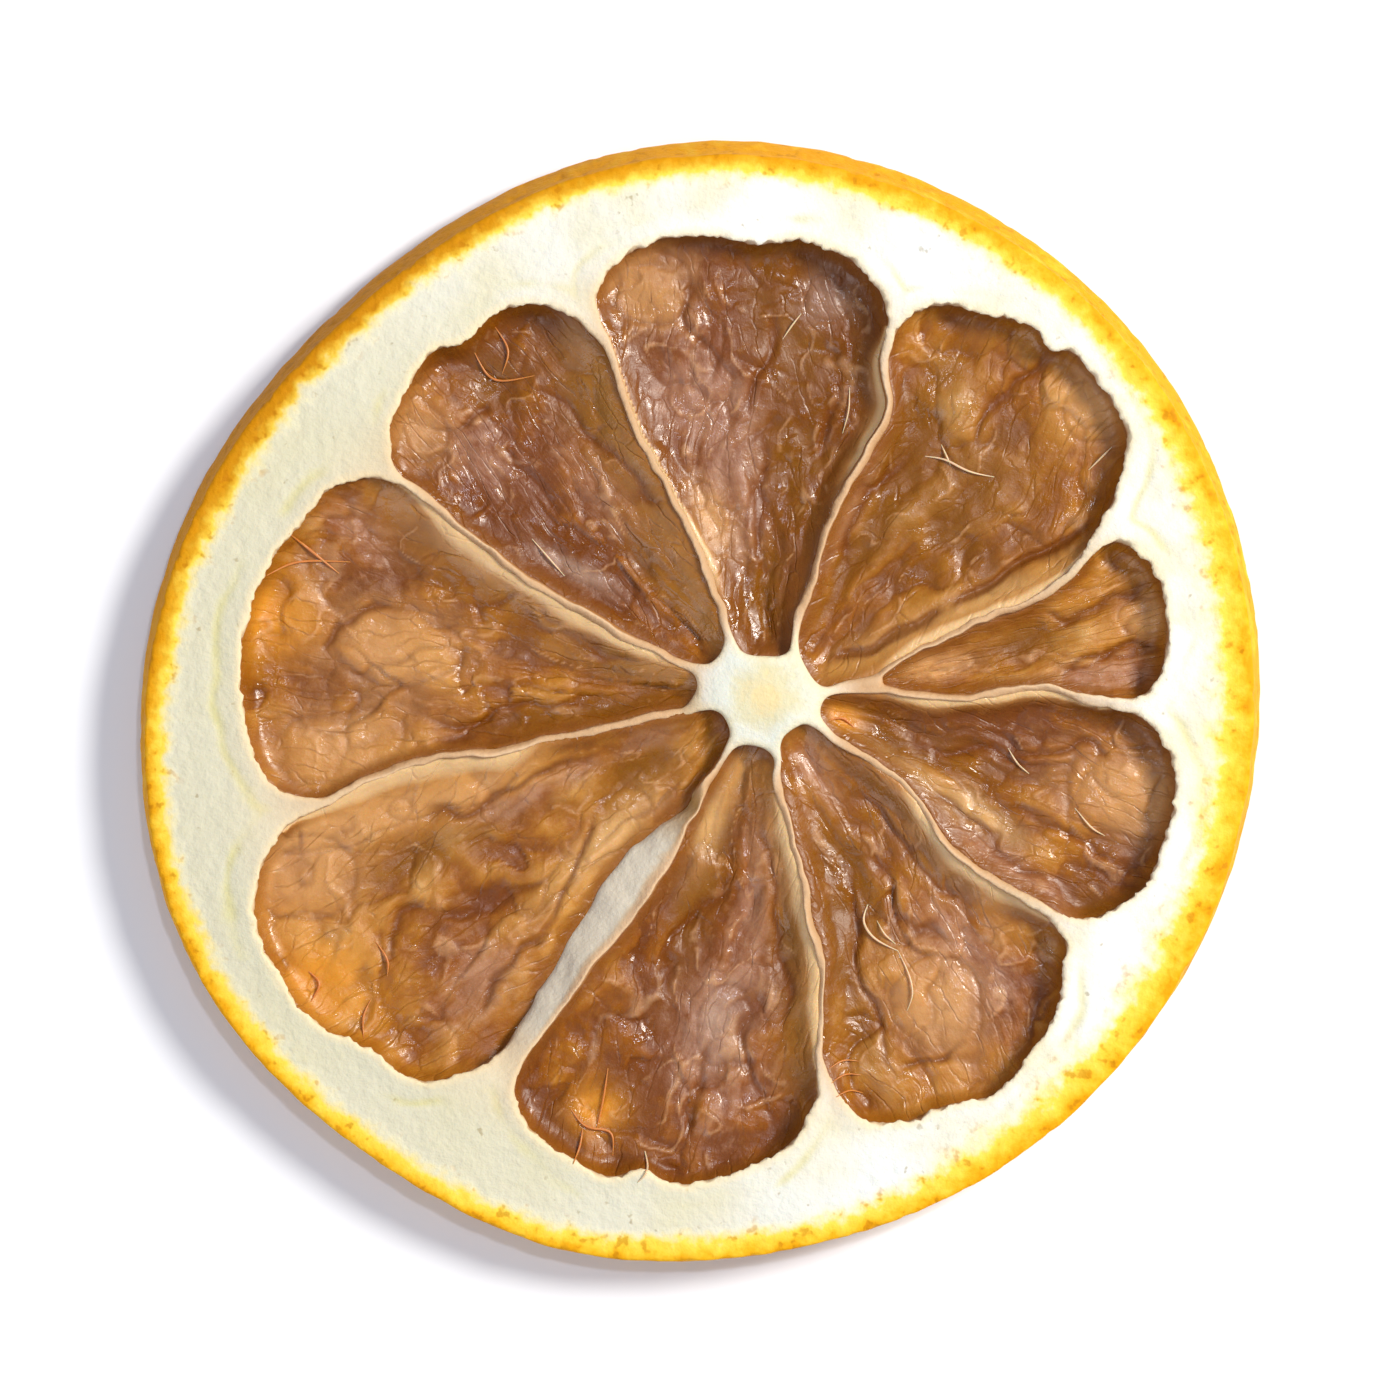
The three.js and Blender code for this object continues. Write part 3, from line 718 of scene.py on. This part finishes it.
    # The relief fades at the edge, where the sheet curves up to what it is grown on.
    sacs = (0.1 * pillow - 0.05 * between_sacs + 0.16 * (tone - 0.5)) * crackle
    relief = (0.15 * pleats * (1 - 0.5 * ease(5, 16, core_distance)) + 0.13 * lumps + 0.035 * knots
              - 0.14 * fold - 0.06 * outline + 0.06 * line + sacs
              - 0.18 * kinds["ochre"] + 0.12 * kinds["peach"] + 0.05 * kinds["plum"])
    inside = ease(0.0, 0.7, edge)
    lift = FLESH_TOP + relief * (0.35 + 0.65 * inside)
    hug = np.exp(-(np.maximum(edge, 0) / slope) ** 1.3)
    upper = lift * (1 - hug) + meets[close] * hug
    hug_low = np.exp(-(np.maximum(edge, 0) / 0.5) ** 1.2)
    lower = (FLESH_FOOT - 0.7 * relief * inside) * (1 - hug_low) + 0.5 * hug_low
    upper = np.clip(upper, 1.2, 2.95)
    lower = np.clip(lower, 0.3, np.minimum(upper - 0.35, 1.25))
    p[:, 2] = lower + rise * (upper - lower)
    crosswise = np.column_stack((-from_middle[:, 1], from_middle[:, 0])) / core_distance[:, None]
    by_wall = np.exp(-np.maximum(edge, 0) / 0.8) * (~by_pith)[close] * p[:, 2] / 3
    p[:, :2] += crosswise * (waver(p) * by_wall)[:, None]

    # Creases are painted darker: partly the thicker juice that gathers in the folds and between the sacs,
    # and partly painted shade.
    keep(sheet, "crease", np.clip(fold + 0.55 * between_sacs * crackle + 0.35 * outline, 0, 1) * inside)
    # The raised lines are painted pale along their crests: a painted highlight.
    keep(sheet, "ridge_highlight", line * inside)
    # Painted light and shade by height: the material makes the bulges lighter and the hollows darker.
    keep(sheet, "relief_light_and_shade", 0.5 + 1.2 * (0.4 * lumps + 0.25 * knots + 0.3 * pleats))
    # Where the flesh meets a membrane steeply, a dark line is painted as shade in the crevice.
    keep(sheet, "rim", np.exp(-(np.maximum(edge, 0) / 0.3) ** 2) * (1 - wide) * (~by_pith)[close])
    keep(sheet, "tone", tone * crackle + 0.5 * (1 - crackle) + SHADES[index] * 2)
    keep(sheet, "edge", edge)
    keep(sheet, "by_membrane", wide * hug)
    pale_slope = np.zeros(len(p))
    for side, width, start, end in PALE_SLOPES[index]:
        on_side = (((across > 0.5) == (side > 0)) & ~by_pith[close]) * ease(start, start + 4, core_distance)
        width = width * on_side * (1 - ease(end - 4, end, core_distance)) * (1 + 0.5 * warp) + 0.01
        pale_slope = np.maximum(pale_slope, np.exp(-(np.maximum(edge, 0) / width) ** 2) * on_side)
    keep(sheet, "pale_slope", pale_slope)
    for kind in kinds:
        keep(sheet, kind, np.clip(kinds[kind], 0, 1))
    # The place in the fibres' pattern, which turns with the segment.
    fibre_place = np.column_stack((
        (across - 0.5) * np.radians(45) * core_distance / FIBRE_WIDTH + 0.3 * warp,
        core_distance / FIBRE_LENGTH + 0.2 * warp2,
        np.full(len(p), index * 3.0)))
    fibre = sheet.data.attributes.new("fibre", "FLOAT_VECTOR", "POINT")
    fibre.data.foreach_set("vector", fibre_place.astype(np.float32).ravel())
    p[:, :2] -= SHIFT
    move_to(sheet, p)
    apply_modifier(sheet, "SMOOTH", factor=0.5, iterations=1)
    bpy.ops.object.shade_smooth()
    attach(sheet, "root")
    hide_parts("lemon_slice")
    flesh_pieces.append(sheet)

# Dried juice sacs: translucent amber brown with a hard gloss. The colour is darker in the creases and by the
# membranes, partly for the thicker juice there and partly as painted shade; it is lighter on the bulges as
# painted light, and has painted highlights on the raised lines and plum patches.
flesh, tree, shader = new_material("dried_juice_sacs")
place = add_node(tree, "ShaderNodeTexCoord").outputs["Object"]
fibres = add_node(tree, "ShaderNodeAttribute", attribute_name="fibre").outputs["Vector"]
mask = {name: add_node(tree, "ShaderNodeAttribute", attribute_name=name).outputs["Fac"] for name in (
    "crease", "ridge_highlight", "relief_light_and_shade", "tone", "edge", "rim", "pale_slope", "by_membrane", "ochre", "plum", "peach",
    "orange", "tan", "pale")}
# Clouds of 2.6 mm and specks of 0.5 mm. Along the fibres, streaks 0.6 mm wide and cells 0.7 mm wide.
clouds = add_node(tree, "ShaderNodeTexNoise", {
    "Scale": 1 / (2.6 * MM), "Detail": 4.0, "Roughness": 0.55}, {"Vector": place})
mottle = clouds.outputs["Fac"]
speck = add_node(tree, "ShaderNodeTexNoise", {
    "Scale": 1 / (0.5 * MM), "Detail": 4.0, "Roughness": 0.6}, {"Vector": place}).outputs["Fac"]
streak = add_node(tree, "ShaderNodeTexNoise", {
    "Scale": FIBRE_WIDTH / 0.6, "Detail": 4.0, "Roughness": 0.58}, {"Vector": fibres}).outputs["Fac"]
drift = add_node(tree, "ShaderNodeVectorMath", {1: (0.7, 0.7, 0.0)}, {
    0: clouds.outputs["Color"], 2: fibres}, operation="MULTIPLY_ADD").outputs[0]
cells = add_node(tree, "ShaderNodeTexVoronoi", {"Scale": FIBRE_WIDTH / 0.706}, {
    "Vector": drift}, feature="DISTANCE_TO_EDGE").outputs["Distance"]
wet = weighted(((speck, 0.7), (mottle, 0.7)))
fade = {name: add_node(tree, "ShaderNodeMapRange", {
    "From Min": low, "From Max": high, "To Min": at_low, "To Max": at_high}, {"Value": measure}).outputs[0]
    for name, measure, low, high, at_low, at_high in (
        ("by_cell_edge", cells, 0.0, 0.08, 1.0, 0.0),
        ("streaked", streak, 0.42, 0.6, 0.0, 1.0),
        ("edge_shade_and_juice", mask["edge"], 0.0, 0.5, 0.7, 0.0),
        ("slope_middle", mask["pale_slope"], 0.5, 0.9, 0.0, 1.0),
        ("dry_to_wet", wet, 0.68, 0.82, 0.42, 0.12))}
walls = add_node(tree, "ShaderNodeMath", None, {
    0: fade["by_cell_edge"], 1: fade["streaked"]}, operation="MULTIPLY").outputs[0]

# Painted light and shade: the relief's height lightens the bulges and darkens the hollows, on top of the
# clouds, streaks and each sac's own tone.
body = weighted((
    (mottle, 0.55), (streak, 0.5), (mask["relief_light_and_shade"], 0.4), (mask["tone"], 0.36), (speck, 0.1)), -0.525)
colour = add_node(tree, "ShaderNodeValToRGB", links={"Fac": body}, stops=(
    (0.22, "#723a00"), (0.42, "#935403"), (0.56, "#aa6c17"), (0.72, "#c1863a"), (0.9, "#d6a562"))).outputs[0]
colour = stain(colour, "#8f5430", weighted(((mask["plum"], 0.9), (mottle, 0.6)), -0.32), 0.6)
# Painted sheen: a pale pinkish highlight over the plum patches, in streaks and specks.
colour = stain(colour, "#c0957a", weighted(((mask["plum"], 0.6), (streak, 1.2), (speck, 0.8)), -1.25))
colour = stain(colour, "#7d4a00", weighted(((mask["ochre"], 0.95), (speck, 0.3)), -0.2))
# Peach patches are the flesh's own lighter places, except the one in the eighth segment, which is a painted
# highlight where a glint falls.
colour = stain(colour, "#d19a5e", weighted(((mask["peach"], 0.8), (speck, 0.5)), -0.28))
colour = stain(colour, "#dd9226", mask["orange"], 0.85)
colour = stain(colour, "#cfa063", mask["tan"], 0.9)
# Pale patches are mostly the flesh's own pale spots; the thin one in the fourth segment is a painted
# highlight.
colour = stain(colour, "#b3917a", weighted(((mask["pale"], 0.8), (speck, 0.5)), -0.3))
colour = stain(colour, "#c08a42", mask["by_membrane"], 0.55)
# Painted highlight along the raised lines, broken up by specks.
colour = stain(colour, "#d9a878", weighted(((mask["ridge_highlight"], 0.7), (speck, 0.8)), -0.6), 0.8)
colour = stain(colour, "#6e3500", walls, 0.3)
# Painted shade in the folds and between the sacs, with some of the thicker juice's own darker amber.
colour = stain(colour, "#6e3500", mask["crease"], 0.75)
# Painted shade: a dark line in the steep crevice beside a membrane, left off a membrane's pale face.
colour = stain(colour, "#5c2800", weighted(((mask["rim"], 1.0), (mask["pale_slope"], -2.0))), 0.6)
# Painted shade along the sheet's edge, within half a millimetre, with some of the thicker juice's own darker
# brown.
colour = stain(colour, "#8f5512", fade["edge_shade_and_juice"])
colour = stain(colour, "#c88f50", mask["pale_slope"])
colour = stain(colour, "#e2bd88", fade["slope_middle"], 0.8)
tree.links.new(colour, shader.inputs["Base Color"])
tree.links.new(fade["dry_to_wet"], shader.inputs["Roughness"])
shader.inputs["Specular IOR Level"].default_value = 0.42
shader.inputs["Subsurface Weight"].default_value = 0.25
shader.inputs["Subsurface Radius"].default_value = (1.0, 0.4, 0.1)
shader.inputs["Subsurface Scale"].default_value = 0.6 * MM
wrinkles = weighted(((streak, 0.5), (speck, 0.42), (walls, -0.25)))
bump = add_node(tree, "ShaderNodeBump", {"Strength": 0.7, "Distance": 0.18 * MM}, {"Height": wrinkles})
tree.links.new(bump.outputs[0], shader.inputs["Normal"])
for sheet in flesh_pieces:
    sheet.data.materials.clear()
    sheet.data.materials.append(flesh)

# ------------------------------------------------------------
# Stray fibres.
# Torn sac walls and strings of pith have dried into hairs that lie on the flesh, some pale and some orange.
# Each is a round thread laid on the surface under it.

FIBRE_CEILING = 3.3  # no hair stands up past the ring
FIBRE_ARCH = 0.12  # how far a hair lifts off the flesh half way along

# A thread's thickness, then the points that it passes over, in millimetres from the middle of the slice.
PALE_FIBRES = (
    (0.1, ((9.8, 10.6), (10.7, 10.5), (11.6, 9.9), (12.8, 9.7))),
    (0.08, ((10.5, 11.1), (10.9, 10.2))),
    (0.09, ((16.9, 10.0), (17.4, 10.5), (17.9, 11.0))),
    (0.08, ((4.4, 16.8), (4.0, 16.3), (3.6, 15.7))),
    (0.11, ((7.3, -8.9), (7.0, -9.6), (7.5, -10.4), (8.6, -10.9))),
    (0.08, ((7.7, -9.6), (8.0, -10.2), (8.5, -10.6))),
    (0.08, ((8.6, -10.9), (9.1, -11.9), (9.3, -12.8), (9.0, -13.5))),
    (0.08, ((13.4, -2.1), (13.8, -2.8), (14.3, -3.2))),
    (0.08, ((16.3, -4.7), (17.0, -5.6), (17.6, -5.9))),
    (0.1, ((-2.4, -19.6), (-2.2, -20.4), (-2.7, -20.9))),
    (0.08, ((-7.3, 7.0), (-6.6, 6.2), (-5.9, 5.4))),
    (0.07, ((6.2, 11.6), (6.5, 12.6), (6.5, 13.6))),
)
ORANGE_FIBRES = (
    (0.12, ((-17.8, 7.2), (-16.8, 6.4), (-15.7, 5.5))),
    (0.11, ((-18.8, 5.4), (-17.6, 6.1), (-15.2, 6.0))),
    (0.1, ((-9.8, 15.1), (-9.1, 13.7), (-7.2, 14.1))),
    (0.09, ((-8.9, 16.2), (-8.2, 15.2), (-8.6, 14.2))),
    (0.11, ((-5.6, -17.8), (-5.0, -18.7), (-3.7, -18.6), (-3.8, -19.8))),
    (0.1, ((-4.0, -16.0), (-4.2, -17.4), (-4.5, -18.7))),
    (0.1, ((-5.1, -18.6), (-5.2, -19.4), (-5.5, -20.1))),
    (0.12, ((-17.0, -11.8), (-16.4, -12.3), (-16.9, -13.1))),
    (0.09, ((-14.1, -10.5), (-13.5, -11.3), (-13.6, -12.0))),
    (0.09, ((-14.3, -13.0), (-14.7, -13.8), (-14.6, -14.7))),
    (0.08, ((5.6, -16.0), (6.2, -15.6), (6.9, -15.7))),
    (0.08, ((5.7, -16.6), (6.3, -16.2), (7.0, -16.3))),
    (0.08, ((5.9, -17.2), (6.5, -16.9), (7.1, -17.1))),
    (0.1, ((5.6, -0.9), (6.2, -0.7), (6.7, -1.2))),
)


def surface_height(x, y):
    """Height of the upper face at a place, in millimetres."""
    found = [piece.ray_cast((x * MM, y * MM, 0.01), (0, 0, -1)) for piece in (skeleton, *flesh_pieces)]
    return max((place.z / MM for hit, place, _, _ in found if hit), default=2.0)


bpy.context.view_layer.update()
for name, fibres, hex_colour in (
        ("pale_fibres", PALE_FIBRES, "#e3c49c"),
        ("orange_fibres", ORANGE_FIBRES, "#c97f3c")):
    curve = bpy.data.curves.new(name, "CURVE")
    curve.dimensions = "3D"
    curve.bevel_depth = 0.5 * MM  # for a thread 1 mm thick, which each point's radius then scales
    curve.bevel_resolution = 2
    curve.use_fill_caps = True
    for thickness, path in fibres:
        path = np.array(path)
        run = np.linspace(0, len(path) - 1, 8 * len(path))
        spots = np.column_stack([np.interp(run, np.arange(len(path)), path[:, axis]) for axis in (0, 1)])
        for _ in range(30):  # rounds the corners of the path
            spots[1:-1] = (spots[:-2] + 2 * spots[1:-1] + spots[2:]) / 4
        spline = curve.splines.new("POLY")
        spline.points.add(len(spots) - 1)
        for point, share, (x, y) in zip(spline.points, np.linspace(0, 1, len(spots)), spots.tolist()):
            height = surface_height(x, y) + FIBRE_ARCH * math.sin(math.pi * share)
            point.co = (x * MM, y * MM, min(height, FIBRE_CEILING) * MM, 1)
            # A hair tapers to about a third of its thickness at both ends.
            point.radius = thickness * (0.35 + 0.65 * math.sin(math.pi * min(max(share, 0.05), 0.95)))
    piece = bpy.data.objects.new(name, curve)
    bpy.context.scene.collection.objects.link(piece)
    bpy.ops.object.select_all(action="DESELECT")
    piece.select_set(True)
    bpy.context.view_layer.objects.active = piece
    bpy.ops.object.convert(target="MESH")
    piece = bpy.context.view_layer.objects.active
    bpy.ops.object.shade_smooth()
    # Dried citrus fibre: thin, waxy and slightly see-through, so it is soft at its edges.
    fibre_material, tree, shader = new_material("dried_" + name)
    shader.inputs["Base Color"].default_value = linear(hex_colour)
    shader.inputs["Roughness"].default_value = 0.4
    shader.inputs["Subsurface Weight"].default_value = 0.3
    shader.inputs["Subsurface Scale"].default_value = 0.2 * MM
    piece.data.materials.append(fibre_material)
    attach(piece, "root")
    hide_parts("lemon_slice")

# ------------------------------------------------------------
# Stage.
# A plain pale floor, a soft key light from the right with a weak fill and a small glint, and a camera
# straight above the slice.

bpy.ops.mesh.primitive_plane_add(size=1.2, location=(0, 0, 0))
floor = bpy.context.active_object
floor.name = "floor"
paper, tree, shader = new_material("pale_floor")
shader.inputs["Base Color"].default_value = linear("#f2f4f8")
shader.inputs["Roughness"].default_value = 0.9
floor.data.materials.append(paper)

for name, place, size, power, colour in (
        ("key", (0.34, 0.16, 0.34), 0.16, 2.95, "#fffaf2"),
        ("fill", (-0.32, -0.34, 0.36), 0.5, 1.2, "#f2f4ff"),
        ("glint", (0.08, 0.1, 0.5), 0.03, 0.45, "#e4ecff")):
    light = bpy.data.lights.new(name, "AREA")
    light.shape = "DISK"
    light.size = size
    light.energy = power
    light.color = linear(colour)[:3]
    lamp = bpy.data.objects.new(name, light)
    bpy.context.scene.collection.objects.link(lamp)
    lamp.location = place
    lamp.rotation_euler = (-Vector(place)).to_track_quat("-Z", "Y").to_euler()
    lamp.visible_camera = False

world = bpy.data.worlds.new("studio")
world.use_nodes = True
world.node_tree.nodes["Background"].inputs["Color"].default_value = linear("#eef1fa")
world.node_tree.nodes["Background"].inputs["Strength"].default_value = 0.3
bpy.context.scene.world = world
bpy.context.scene.view_settings.view_transform = "Standard"

# A long lens close above, so that hardly any of the side wall shows.
lens = bpy.data.cameras.new("camera")
lens.lens = 200
lens.sensor_width = 36
camera = bpy.data.objects.new("camera", lens)
bpy.context.scene.collection.objects.link(camera)
camera.location = (0, 0, 0.34)
bpy.context.scene.camera = camera
